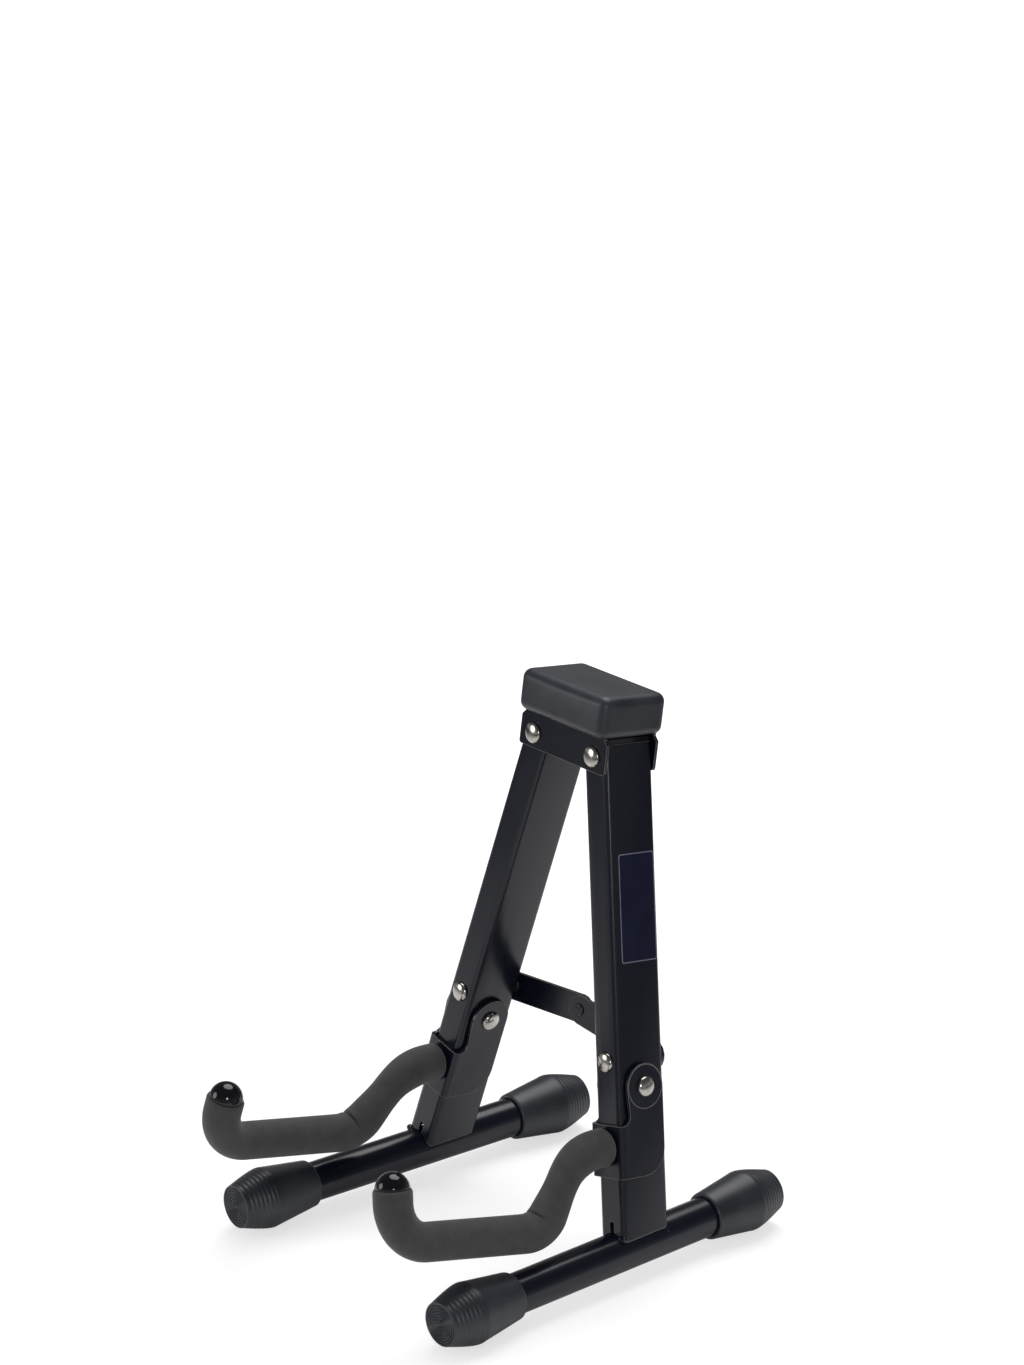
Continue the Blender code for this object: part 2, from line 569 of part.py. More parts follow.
def head(raked, materials):
    """The head, on the raked frame with its origin between the two pivots: a sheet-steel channel open below,
    with a narrower neck that a moulded rubber backrest is pushed over."""
    neck = HEAD_HALF_WIDTH - HEAD_CHAMFER
    shoulder = HEAD_ABOVE_PIVOT
    cheek = [
        (-HEAD_HALF_WIDTH, -HEAD_BELOW_PIVOT, HEAD_CORNER),
        (HEAD_HALF_WIDTH, -HEAD_BELOW_PIVOT, HEAD_CORNER),
        (HEAD_HALF_WIDTH, shoulder, 0),
        (neck, shoulder + HEAD_CHAMFER, 0),
        (neck, HEAD_TOP, 0),
        (-neck, HEAD_TOP, 0),
        (-neck, shoulder + HEAD_CHAMFER, 0),
        (-HEAD_HALF_WIDTH, shoulder, 0),
    ]
    block = extruded(filleted(cheek, 4), -CHEEK_OUTER, CHEEK_OUTER, "Y")
    channel = piece("head_channel", block, raked, materials["painted_steel"])
    wide = HEAD_HALF_WIDTH + CUT_MARGIN
    inside_low = (-wide, -CHEEK_INNER, -HEAD_BELOW_PIVOT - CUT_MARGIN)
    combine(channel, box(inside_low, (wide, CHEEK_INNER, HEAD_TOP - HEAD_SHEET)))
    for side_name, side in SIDES:
        place = (side * HEAD_PIVOT_OFFSET, 0, 0)
        reach = CHEEK_OUTER + CUT_MARGIN
        combine(channel, pointed(rod(HEAD_RIVET_RADIUS + CLEAR, -reach, reach), (0, 1, 0), place))
        grip = CHEEK_OUTER + CLEAR
        pin = rivet(HEAD_RIVET_RADIUS, HEAD_RIVET_HEAD_RADIUS, HEAD_RIVET_HEAD_HEIGHT, -grip, grip)
        pin = pointed(pin, (0, 1, 0), place)
        piece("head_pivot_rivet_" + side_name, pin, raked, materials["bright_steel"])

    bottom = shoulder + HEAD_CHAMFER + CLEAR
    pocket = neck + CLEAR
    front = -(CHEEK_OUTER + CLEAR + PAD_FRONT_WALL)
    back = CHEEK_OUTER + CLEAR + PAD_BACK_WALL
    wide = pocket + PAD_SIDE_WALL
    block = box((-wide, front, bottom), (wide, back, HEAD_TOP + CLEAR + PAD_TOP_WALL))
    pad = piece("backrest_pad", block, raked, materials["rubber"], sharp_angle=60)
    bevel = pad.modifiers.new("rounded edges", "BEVEL")
    bevel.width = PAD_EDGE
    bevel.segments = PAD_EDGE_STEPS
    pocket_top = HEAD_TOP + CLEAR
    low = (-pocket, -CHEEK_OUTER - CLEAR, bottom - CUT_MARGIN)
    combine(pad, box(low, (pocket, CHEEK_OUTER + CLEAR, pocket_top)))


def centre_on_floor(stand):
    """Moves the stand along Y so that the middle of its whole box is at the origin."""
    bpy.context.view_layer.update()
    graph = bpy.context.evaluated_depsgraph_get()
    reach = []
    for part in bpy.data.objects:
        if part.type != "MESH" or part.hide_render:
            continue
        shaped = part.evaluated_get(graph)
        reach += [(shaped.matrix_world @ vert.co).y for vert in shaped.data.vertices]
    stand.location.y -= (min(reach) + max(reach)) / 2


def main():
    for old in list(bpy.data.objects):
        bpy.data.objects.remove(old)
    materials = make_materials()
    stand = frame("stand", None, (0, 0, 0))
    rake_turn = Matrix.Rotation(-RAKE, 3, "X")
    raked = frame("raked_frame", stand, (0, 0, CAP_REST_RADIUS), rake_turn)
    head_frame = frame("head_frame", raked, (0, 0, HEAD_HEIGHT))
    head(head_frame, materials)
    for side_name, side in SIDES:
        lean_turn = Matrix.Rotation(-side * LEG_LEAN, 3, "Y")
        leg = frame("leg_frame_" + side_name, head_frame, (side * HEAD_PIVOT_OFFSET, 0, 0), lean_turn)
        foot_place = (0, 0, -LEG_LENGTH)
        turn = foot_turn(rake_turn @ lean_turn)
        foot(side_name, leg, foot_place, turn, materials)
        column(side_name, leg, foot_place, turn @ Vector((0, 0, 1)), materials)
        arm(side_name, side, leg, materials)
        brace(side_name, side, leg, materials)
    centre_on_floor(stand)


main()
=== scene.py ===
import json
import math

import bmesh
import bpy
from mathutils import Matrix, Vector


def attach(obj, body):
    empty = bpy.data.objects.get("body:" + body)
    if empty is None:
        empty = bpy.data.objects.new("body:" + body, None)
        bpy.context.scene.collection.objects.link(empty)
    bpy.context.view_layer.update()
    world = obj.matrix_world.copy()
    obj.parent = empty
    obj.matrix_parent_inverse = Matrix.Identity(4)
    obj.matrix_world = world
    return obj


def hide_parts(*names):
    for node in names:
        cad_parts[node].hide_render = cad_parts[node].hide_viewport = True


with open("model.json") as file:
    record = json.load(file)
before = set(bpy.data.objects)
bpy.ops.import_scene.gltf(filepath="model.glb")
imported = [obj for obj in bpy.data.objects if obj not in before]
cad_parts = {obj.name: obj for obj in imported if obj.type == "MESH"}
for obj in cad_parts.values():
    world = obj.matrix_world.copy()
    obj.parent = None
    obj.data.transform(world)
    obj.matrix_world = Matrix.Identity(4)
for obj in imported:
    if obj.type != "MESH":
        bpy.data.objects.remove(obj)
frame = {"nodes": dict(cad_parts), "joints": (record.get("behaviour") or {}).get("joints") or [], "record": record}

bl_info = {
    "name": "Folding Ukulele Stand",
    "version": (1, 0, 0),
    "blender": (4, 5, 0),
    "location": "View3D > Sidebar > Stand",
    "description": "Builds the finished look of a folding tabletop ukulele stand around its packed frame",
    "category": "Object",
}

MM = 0.001
CLEAR = 0.3 * MM

# Stance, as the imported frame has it
LEG_LEAN = math.radians(13.2)
RAKE = math.radians(8.3)
LEG_LENGTH = 227 * MM
ARM_PIVOT_UP = 74.8 * MM
BRACE_PIVOT_UP = 86.7 * MM
JOINTS = {joint["name"]: joint for joint in frame["joints"]}
SIDES = (("right", 1), ("left", -1))

# Column and bracket faces that the new pieces sit on
COLUMN_HALF_WIDTH = 8.1 * MM
COLUMN_HALF_DEPTH = 14 * MM
PLATE_FRONT = -15.7 * MM
ARM_GRIP = 10.9 * MM  # column's middle to the outer face that an arm rivet's head sits on
HEAD_GRIP = 16 * MM

# The arm's centreline, as corners ahead of the bracket plate and below the arm's root, with bend radii
ARM_ROOT = -26.8 * MM
ARM_CORNERS = (
    (19.5 * MM, 1.4 * MM, 26 * MM),
    (41.3 * MM, 33.5 * MM, 15 * MM),
    (125.4 * MM, 25.8 * MM, 20 * MM),
)
ARM_TIP_DROP = 1.3 * MM
FOAM_SETBACK = 1.5 * MM
ROD_RADIUS = 4 * MM

# Foot caps
FOOT_RADIUS = 9.5 * MM
FOOT_REACH = {"front": 118.5 * MM, "back": -86 * MM}


def linear(hex_colour):
    """An sRGB hex colour as linear RGBA."""
    channels = [int(hex_colour[index : index + 2], 16) / 255 for index in (0, 2, 4)]
    return (*[c / 12.92 if c <= 0.04045 else ((c + 0.055) / 1.055) ** 2.4 for c in channels], 1.0)


def colour(label, note, hex_colour):
    """A colour property with its default from a hex value."""
    return bpy.props.FloatVectorProperty(
        name=label, description=note, size=4, subtype="COLOR", min=0, max=1, default=linear(hex_colour)
    )


def length(label, note, value):
    """A length property in metres."""
    return bpy.props.FloatProperty(name=label, description=note, default=value, unit="LENGTH", precision=5)


class StandColours(bpy.types.PropertyGroup):
    """The colours of the stand's finishes"""

    paint: colour("Powder coat", "Semi-gloss black on all steel", "0a0d1a")
    # painted highlight: a pale colour that sharp paint edges are mixed towards, standing in for light caught on
    # them
    paint_edge_highlight: colour("Powder coat at edges", "Thin film over sharp edges looks paler", "8f8d89")
    foam_dark: colour("Foam, dark", "The deep tone of the foam's mottle", "363435")
    foam_light: colour("Foam, light", "The pale tone of the foam's mottle", "3d3b3c")
    rubber: colour("Rubber", "Foot caps and backrest", "1b1d24")
    rubber_bloom: colour("Rubber bloom", "Paler film that old rubber grows", "262931")
    gloss_plastic: colour("Gloss plastic", "Ball caps and column plugs", "0c0d11")
    nickel: colour("Nickel", "Rivets and spacer", "b9b5ae")
    nylon: colour("Nylon", "Washers and bushes", "d6d2c5")
    label: colour("Blank label", "The bare film on the column", "0b0f26")
    label_edge: colour("Blank label's border", "The thin pale line round the film", "74778a")
    floor: colour("Floor", "Pale paper sweep", "f6f6f6")


class StandSizes(bpy.types.PropertyGroup):
    """The sizes of the details that the frame doesn't hold"""

    foam_radius: length("Foam radius", "Outside radius of the arm sleeves", 9 * MM)
    foam_pinch: length("Foam pinch", "How much the stretched drop thins the foam", 1.3 * MM)
    wrinkle_depth: length("Wrinkle depth", "Depth of the cross wrinkles inside a bend", 0.35 * MM)
    wrinkle_pitch: length("Wrinkle pitch", "Distance between two cross wrinkles", 2.3 * MM)
    crease_depth: length("Crease depth", "Depth of the fold at the heel's inner corner", 1.7 * MM)
    ridge_height: length("Cap ridge height", "Height of the rings on a foot cap's end", 0.6 * MM)
    groove_depth: length("Cap groove depth", "Depth of the grooves on a cap's shoulder", 0.3 * MM)
    label_width: length("Label width", "Blank label, front to back", 21.3 * MM)
    label_height: length("Label height", "Blank label, up the column", 50 * MM)
    weld_radius: length("Weld bead", "Size of a weld bead at a column's foot", 2 * MM)


def add_node(tree, kind, settings=None, links=None):
    """A node of that kind with its properties or input values set and its inputs linked."""
    node = tree.nodes.new(kind)
    for key, value in (settings or {}).items():
        if isinstance(key, str) and hasattr(node, key):
            setattr(node, key, value)
        else:
            node.inputs[key].default_value = value
    for key, source in (links or {}).items():
        tree.links.new(source, node.inputs[key])
    return node


def new_material(name, **sockets):
    """A material with constants on its shader's own sockets. Returns it, its tree and its shader."""
    material = bpy.data.materials.new(name)
    material.use_nodes = True
    shader = material.node_tree.nodes["Principled BSDF"]
    for socket, value in sockets.items():
        shader.inputs[socket.replace("_", " ")].default_value = value
    return material, material.node_tree, shader


def cloud(tree, size, detail=3.0):
    """Soft noise whose features have that size in metres, in the object's own coordinates."""
    place = add_node(tree, "ShaderNodeTexCoord").outputs["Object"]
    settings = {"Scale": 1 / size, "Detail": detail}
    return add_node(tree, "ShaderNodeTexNoise", settings, {"Vector": place}).outputs["Fac"]


def between(tree, factor, low, high, start=0.35, end=0.65):
    """A colour between two as the factor goes from start to end."""
    ramp = add_node(tree, "ShaderNodeValToRGB", links={"Fac": factor})
    for element, tone, stop in zip(ramp.color_ramp.elements, (low, high), (start, end)):
        element.color = tone
        element.position = stop
    return ramp.outputs["Color"]


def uneven(tree, factor, low, high):
    """A number that drifts between two values with the factor."""
    settings = {"To Min": low, "To Max": high}
    return add_node(tree, "ShaderNodeMapRange", settings, {"Value": factor}).outputs["Result"]


def edge_highlight_mask(tree, reach):
    """1 on edges sharper than the reach and 0 on flats, from how far a rounded normal leaves the true one: it
    places the powder coat's painted edge highlight.
    """
    rounded = add_node(tree, "ShaderNodeBevel", {"samples": 4, "Radius": reach}).outputs["Normal"]
    true = add_node(tree, "ShaderNodeNewGeometry").outputs["Normal"]
    dot = add_node(tree, "ShaderNodeVectorMath", {"operation": "DOT_PRODUCT"}, {0: rounded, 1: true})
    settings = {"From Min": 0.995, "From Max": 0.9, "To Min": 0.0, "To Max": 1.0}
    return add_node(tree, "ShaderNodeMapRange", settings, {"Value": dot.outputs["Value"]}).outputs["Result"]


def powder_coat(colours):
    """Powder coat, baked on steel: semi-gloss with a slight orange peel, with a painted pale highlight along its
    sharp edges.
    """
    material, tree, shader = new_material("black_powder_coat", Specular_IOR_Level=0.4)
    drift = cloud(tree, 25 * MM)
    edges = edge_highlight_mask(tree, 0.5 * MM)
    # painted highlight: the edges mask mixes sharp edges up to 0.7 of the way to the pale edge colour
    mix = add_node(tree, "ShaderNodeMix", {"data_type": "RGBA"}, {0: uneven(tree, edges, 0.0, 0.7)})
    mix.inputs[6].default_value = colours.paint
    mix.inputs[7].default_value = colours.paint_edge_highlight
    tree.links.new(mix.outputs[2], shader.inputs["Base Color"])
    tree.links.new(uneven(tree, drift, 0.2, 0.28), shader.inputs["Roughness"])
    peel = cloud(tree, 1.6 * MM, 1.0)  # orange peel is 1 to 2 mm across
    bevel = add_node(tree, "ShaderNodeBevel", {"samples": 4, "Radius": 0.45 * MM}).outputs["Normal"]
    relief = add_node(
        tree, "ShaderNodeBump", {"Strength": 0.25, "Distance": 0.02 * MM}, {"Height": peel, "Normal": bevel}
    )
    tree.links.new(relief.outputs["Normal"], shader.inputs["Normal"])
    return material


def nitrile_foam(colours):
    """Closed-cell nitrile foam: dull, mottled, with open cells about half a millimetre wide on its skin."""
    material, tree, shader = new_material(
        "charcoal_nitrile_foam", Specular_IOR_Level=0.22, Sheen_Weight=0.12, Sheen_Roughness=0.5
    )
    mottle = cloud(tree, 7 * MM, 5.0)
    tree.links.new(between(tree, mottle, colours.foam_dark, colours.foam_light), shader.inputs["Base Color"])
    tree.links.new(uneven(tree, mottle, 0.62, 0.8), shader.inputs["Roughness"])
    place = add_node(tree, "ShaderNodeTexCoord").outputs["Object"]
    # real cells are 0.2 mm: drawn at 0.55 mm, so that they show in a render of the whole stand
    cells = add_node(tree, "ShaderNodeTexVoronoi", {"Scale": 1 / (0.55 * MM)}, {"Vector": place})
    skin = add_node(
        tree, "ShaderNodeBump", {"Strength": 0.5, "Distance": 0.1 * MM}, {"Height": cells.outputs["Distance"]}
    )
    drag = add_node(
        tree,
        "ShaderNodeBump",
        {"Strength": 0.6, "Distance": 0.25 * MM},
        {"Height": cloud(tree, 3 * MM), "Normal": skin.outputs["Normal"]},
    )
    tree.links.new(drag.outputs["Normal"], shader.inputs["Normal"])
    return material


def moulded_rubber(colours):
    """Injection-moulded rubber: satin, with a fine spark-eroded mould texture and a faint bloom."""
    material, tree, shader = new_material("black_moulded_rubber", Specular_IOR_Level=0.5)
    bloom = cloud(tree, 14 * MM, 4.0)
    tree.links.new(between(tree, bloom, colours.rubber, colours.rubber_bloom), shader.inputs["Base Color"])
    tree.links.new(uneven(tree, bloom, 0.36, 0.5), shader.inputs["Roughness"])
    grain = cloud(tree, 0.7 * MM, 2.0)  # mould texture of 0.3 mm, drawn coarser so that it shows
    relief = add_node(tree, "ShaderNodeBump", {"Strength": 0.4, "Distance": 0.05 * MM}, {"Height": grain})
    tree.links.new(relief.outputs["Normal"], shader.inputs["Normal"])
    return material


def gloss_abs(colours):
    """Glossy ABS, moulded in a polished tool: near black, with a sharp highlight and faint sink."""
    material, tree, shader = new_material("black_gloss_abs", Specular_IOR_Level=0.4)
    shader.inputs["Base Color"].default_value = colours.gloss_plastic
    tree.links.new(uneven(tree, cloud(tree, 9 * MM), 0.06, 0.12), shader.inputs["Roughness"])
    sink = add_node(
        tree, "ShaderNodeBump", {"Strength": 0.3, "Distance": 0.02 * MM}, {"Height": cloud(tree, 5 * MM, 1.0)}
    )
    tree.links.new(sink.outputs["Normal"], shader.inputs["Normal"])
    return material


def nickel_plate(colours):
    """Bright nickel on a pressed rivet: mirror-like with faint press marks."""
    material, tree, shader = new_material("bright_nickel_plate", Metallic=1.0)
    marks = cloud(tree, 2.2 * MM, 4.0)
    tone = tuple(channel * 0.82 for channel in colours.nickel[:3]) + (1.0,)
    tree.links.new(between(tree, marks, tone, colours.nickel), shader.inputs["Base Color"])
    tree.links.new(uneven(tree, marks, 0.12, 0.26), shader.inputs["Roughness"])
    relief = add_node(tree, "ShaderNodeBump", {"Strength": 0.3, "Distance": 0.03 * MM}, {"Height": marks})
    tree.links.new(relief.outputs["Normal"], shader.inputs["Normal"])
    return material


def natural_nylon(colours):
    """Natural nylon washers: milky, soft shine, faint turning marks."""
    material, tree, shader = new_material("natural_nylon", Subsurface_Weight=0.1, Subsurface_Scale=0.5 * MM)
    drift = cloud(tree, 3 * MM)
    tone = tuple(channel * 0.85 for channel in colours.nylon[:3]) + (1.0,)
    tree.links.new(between(tree, drift, tone, colours.nylon), shader.inputs["Base Color"])
    tree.links.new(uneven(tree, drift, 0.35, 0.5), shader.inputs["Roughness"])
    return material


def label_film(colours):
    """Printed polyester film, left blank: dark and satin, a little smoother than the paint beneath."""
    material, tree, shader = new_material("blank_polyester_film", Specular_IOR_Level=0.2)
    drift = cloud(tree, 12 * MM)
    tone = tuple(channel * 1.3 for channel in colours.label[:3]) + (1.0,)
    tree.links.new(between(tree, drift, colours.label, tone), shader.inputs["Base Color"])
    tree.links.new(uneven(tree, drift, 0.3, 0.38), shader.inputs["Roughness"])
    return material


def border_ink(colours):
    """Pale screen-printed ink: flat and slightly rough."""
    material, tree, shader = new_material("pale_border_ink", Specular_IOR_Level=0.3)
    drift = cloud(tree, 4 * MM)
    tone = tuple(channel * 0.8 for channel in colours.label_edge[:3]) + (1.0,)
    tree.links.new(between(tree, drift, tone, colours.label_edge), shader.inputs["Base Color"])
    tree.links.new(uneven(tree, drift, 0.4, 0.5), shader.inputs["Roughness"])
    return material


FINISHES = {
    "painted_steel": powder_coat,
    "foam": nitrile_foam,
    "rubber": moulded_rubber,
    "plastic": gloss_abs,
    "bright_steel": nickel_plate,
    "nylon": natural_nylon,
    "label": label_film,
    "label_edge": border_ink,
}
made_finishes = {}


def finish_of(name):
    """The finish of that name, made once."""
    if name not in made_finishes:
        made_finishes[name] = FINISHES[name](bpy.context.scene.stand_colours)
    return made_finishes[name]


def leg_matrix(side_name, side):
    """The leg's frame in the world: origin on its head pivot, Z up the column, X across."""
    turn = Matrix.Rotation(-RAKE, 4, "X") @ Matrix.Rotation(-side * LEG_LEAN, 4, "Y")
    return Matrix.Translation(JOINTS["leg_fold_" + side_name]["pos_m"]) @ turn


def arm_matrix(side_name, side):
    """The arm's frame: the leg's, with its origin on the arm pivot."""
    return leg_matrix(side_name, side) @ Matrix.Translation((0, 0, ARM_PIVOT_UP - LEG_LENGTH))


def foot_matrix(side_name, side):
    """The foot's frame: Z forward and level, Y straight up, its origin at the column's foot."""
    leg = leg_matrix(side_name, side)
    upright = Vector((0, 0, 1))
    forward = (leg.to_3x3() @ Vector((1, 0, 0))).cross(upright).normalized()
    level = Matrix((upright.cross(forward), upright, forward)).transposed().to_4x4()
    return Matrix.Translation(leg @ Vector((0, 0, -LEG_LENGTH))) @ level


def head_matrix():
    """The head's frame: raked, with its origin midway between the head pivots."""
    pivots = [Vector(JOINTS["leg_fold_" + side_name]["pos_m"]) for side_name, side in SIDES]
    return Matrix.Translation((pivots[0] + pivots[1]) / 2) @ Matrix.Rotation(-RAKE, 4, "X")


def piece(name, solid, place, body, slot, finish=None, replaced=(), sharp_angle=40):
    """A new piece from a closed bmesh in a local frame, riding on its body with its finish."""
    solid.transform(place)
    bmesh.ops.recalc_face_normals(solid, faces=solid.faces)
    if solid.calc_volume(signed=True) < 0:
        bmesh.ops.reverse_faces(solid, faces=solid.faces)
    mesh = bpy.data.meshes.new(name)
    solid.to_mesh(mesh)
    solid.free()
    mesh.shade_smooth()
    mesh.set_sharp_from_angle(angle=math.radians(sharp_angle))
    mesh.materials.append(finish_of(finish or slot))
    part = bpy.data.objects.new(name, mesh)
    bpy.context.scene.collection.objects.link(part)
    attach(part, body)
    if replaced:
        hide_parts(*replaced)
    return part


def turned(profile, facets):
    """A closed solid turned about Z from (radius, along) points that may start and end on the axis."""
    solid = bmesh.new()
    rings = []
    for radius, along in profile:
        if radius == 0:
            rings.append([solid.verts.new((0, 0, along))])
            continue
        turns = [2 * math.pi * facet / facets for facet in range(facets)]
        rings.append([solid.verts.new((radius * math.cos(t), radius * math.sin(t), along)) for t in turns])
    for lower, upper in zip(rings, rings[1:]):
        for facet in range(facets):
            after = (facet + 1) % facets
            corners = [lower[facet % len(lower)], lower[after % len(lower)]]
            corners += [upper[after % len(upper)], upper[facet % len(upper)]]
            solid.faces.new(list(dict.fromkeys(corners)))
    return solid


def pointed(solid, direction, place=(0, 0, 0)):
    """The solid with its Z axis turned to a direction and then moved."""
    turn = Vector((0, 0, 1)).rotation_difference(Vector(direction)).to_matrix().to_4x4()
    solid.transform(Matrix.Translation(place) @ turn)
    return solid


def centreline(spacing):
    """The arm's centreline in (back, up) at even steps, with the path length at each bend's middle."""
    start = Vector((PLATE_FRONT - FOAM_SETBACK, ARM_ROOT))
    corners = [
        (Vector((PLATE_FRONT - ahead, ARM_ROOT - drop)), radius) for ahead, drop, radius in ARM_CORNERS
    ]
    end = Vector((corners[-1][0].x, ARM_ROOT - ARM_TIP_DROP))
    places = [start] + [corner for corner, radius in corners] + [end]
    points = [start]
    middles = []
    arc_steps = 24
    for index, (corner, radius) in enumerate(corners, 1):
        before = (places[index - 1] - corner).normalized()
        after = (places[index + 1] - corner).normalized()
        half_angle = before.angle(after) / 2
        centre = corner + (before + after).normalized() * radius / math.sin(half_angle)
        arm = corner + before * radius / math.tan(half_angle) - centre
        sweep = (math.pi - 2 * half_angle) * math.copysign(1, before.cross(after))
        for step in range(arc_steps + 1):
            points.append(centre + Matrix.Rotation(-sweep * step / arc_steps, 2) @ arm)
            if step == arc_steps // 2:
                middles.append(len(points) - 1)
    points.append(end)
    passed = [0.0]
    for before, after in zip(points, points[1:]):
        passed.append(passed[-1] + (after - before).length)
    count = round(passed[-1] / spacing)
    even = []
    for index in range(count + 1):
        wanted = passed[-1] * index / count
        step = max(i for i, value in enumerate(passed[:-1]) if value <= wanted + 1e-12)
        share = (wanted - passed[step]) / max(passed[step + 1] - passed[step], 1e-12)
        even.append(points[step].lerp(points[step + 1], min(share, 1.0)))
    return even, passed[-1], [passed[index] for index in middles]


def foam_skin(along, total, bends, inner, sizes):
    """The sleeve's radius at a path length, for a point that faces a bend's inside by the share inner."""
    share = along / total
    radius = sizes.foam_radius
    drop_start, drop_end = 0.08, 0.32
    if drop_start < share < drop_end:
        wave = math.sin(math.pi * (share - drop_start) / (drop_end - drop_start))
        radius -= sizes.foam_pinch * wave * wave
    shoulder, heel, toe = bends
    for bend, reach in ((shoulder, 9 * MM), (heel, 8 * MM), (toe, 12 * MM)):
        near = math.exp(-(((along - bend) / reach) ** 2))
        facing = max(0.0, -inner if bend == shoulder else inner) ** 1.5
        ripple = 0.5 + 0.5 * math.cos(2 * math.pi * (along - bend) / sizes.wrinkle_pitch)
        second = 0.5 + 0.5 * math.cos(2 * math.pi * (along - bend) / (sizes.wrinkle_pitch * 1.63))
        radius -= sizes.wrinkle_depth * near * facing * (0.65 * ripple + 0.35 * second)
    crease = math.exp(-(((along - heel) / (1.6 * MM)) ** 2)) * max(0.0, inner) ** 2
    bulge = math.exp(-(((along - heel) / (7 * MM)) ** 2)) * max(0.0, inner) ** 2
    return radius + 0.7 * MM * bulge - sizes.crease_depth * crease


def foam_sleeve(sizes):
    """The foam sleeve about the arm's centreline, with its bore, wrinkles, crease and softened ends."""
    sides = 48
    path, total, bends = centreline(1.1 * MM)
    bore = ROD_RADIUS + CLEAR
    edge = 0.5 * MM
    solid = bmesh.new()
    layers = []
    bores = []

    def layer(centre, normal, radius_at):
        turns = [2 * math.pi * side / sides for side in range(sides)]
        ring = []
        for turn in turns:
            offset = Vector((math.cos(turn), 0, 0)) + normal * math.sin(turn)
            ring.append(solid.verts.new(centre + offset * radius_at(math.sin(turn))))
        return ring

    last = len(path) - 1
    for index, point in enumerate(path):
        ahead = (path[min(index + 1, last)] - path[max(index - 1, 0)]).normalized()
        normal = -Vector((0, -ahead.y, ahead.x))  # towards the top of the lower run
        centre = Vector((0, point.x, point.y))
        along = total * index / last
        trim = edge if index in (0, last) else 0.0
        skin = lambda spin, a=along, t=trim: foam_skin(a, total, bends, spin, sizes) - t
        layers.append(layer(centre, normal, skin))
        bores.append(layer(centre, normal, lambda s: bore))
    layers += bores[::-1]
    for lower, upper in zip(layers, layers[1:] + layers[:1]):
        for side in range(sides):
            after = (side + 1) % sides
            solid.faces.new((lower[side], lower[after], upper[after], upper[side]))
    return solid


def dome(radius, height, steps):
    """Points of a low dome from its rim to its top."""
    angles = [math.pi / 2 * step / steps for step in range(steps + 1)]
    return [(radius * math.cos(angle), height * math.sin(angle)) for angle in angles]


def rivet(shaft, head, tall, start, end):
    """A rivet about Z from start to end, with a lipped dome head beyond each."""
    lip = 0.35 * MM
    crown = dome(head - 0.1 * MM, tall, 10)
    upper = [(head, 0.0)] + [(radius, lip + up * (tall - lip) / tall) for radius, up in crown]
    upper[-1] = (0, tall)
    profile = [(radius, start - up) for radius, up in reversed(upper)]
    profile += [(shaft, start), (shaft, end)]
    profile += [(radius, end + up) for radius, up in upper]
    return turned(profile, 48)


def cap_profile(sizes):
    """Half the section of a foot cap, from its ringed end at 0 to its rounded collar, with its bore."""
    tip, rest, shoulder = 10.5 * MM, 14.6 * MM, 16 * MM
    profile = [(0, 0.0)]
    rings = 7
    pitch = (tip - 1.3 * MM) / rings
    for ring in range(rings):
        inner = 0.5 * MM + ring * pitch
        for share, level in ((0.1, 0.0), (0.4, 1.0), (0.6, 1.0), (0.9, 0.0)):
            profile.append((inner + pitch * share, sizes.ridge_height * level))
    profile += [(tip - 0.6 * MM, 0.0), (tip - 0.15 * MM, 0.15 * MM), (tip, 0.7 * MM)]
    grooves = 7
    curve = math.radians(55)  # how much the shoulder turns on its way to the widest ring
    for groove in range(grooves):
        for share, deep in ((0.1, 0.0), (0.35, 0.0), (0.6, 1.0), (0.8, 0.5)):
            part = (groove + share) / grooves
            swell = math.sin(curve * part) / math.sin(curve)
            radius = tip + (rest - tip) * swell - sizes.groove_depth * deep
            profile.append((radius, 0.7 * MM + (shoulder - 1.3 * MM) * part))
    collar, whole = 11.3 * MM, 42 * MM
    profile += [(rest, shoulder - 0.2 * MM), (rest, shoulder + 1.4 * MM)]
    profile += [(rest - 0.12 * MM, shoulder + 1.8 * MM)]
    profile += [(collar + 0.1 * MM, 40.6 * MM), (collar - 0.05 * MM, 41.4 * MM), (collar - 0.5 * MM, whole)]
    bore = FOOT_RADIUS + CLEAR
    return profile + [(bore, whole), (bore, 5 * MM), (0, 5 * MM)]


def rounded_block(low, high, radius, crown):
    """A block with round edges and a crowned front, as a grid of small faces."""
    solid = bmesh.new()
    bmesh.ops.create_cube(solid, size=2)
    bmesh.ops.subdivide_edges(solid, edges=solid.edges, cuts=31, use_grid_fill=True)
    low, high = Vector(low), Vector(high)
    centre, half = (low + high) / 2, (high - low) / 2
    for vert in solid.verts:
        spread = [math.copysign(abs(value) ** 0.8, value) for value in vert.co]
        spot = Vector([value * half[axis] for axis, value in enumerate(spread)])
        core = Vector([max(-half[axis] + radius, min(half[axis] - radius, spot[axis])) for axis in range(3)])
        out = spot - core
        if out.length > 0:
            spot = core + out.normalized() * radius
        share_x, share_z = spot.x / half.x, spot.z / half.z
        if spot.y < 0:
            spot.y -= crown * (1 - share_x * share_x) * (1 - share_z * share_z) * -spot.y / half.y
        vert.co = centre + spot
    return solid


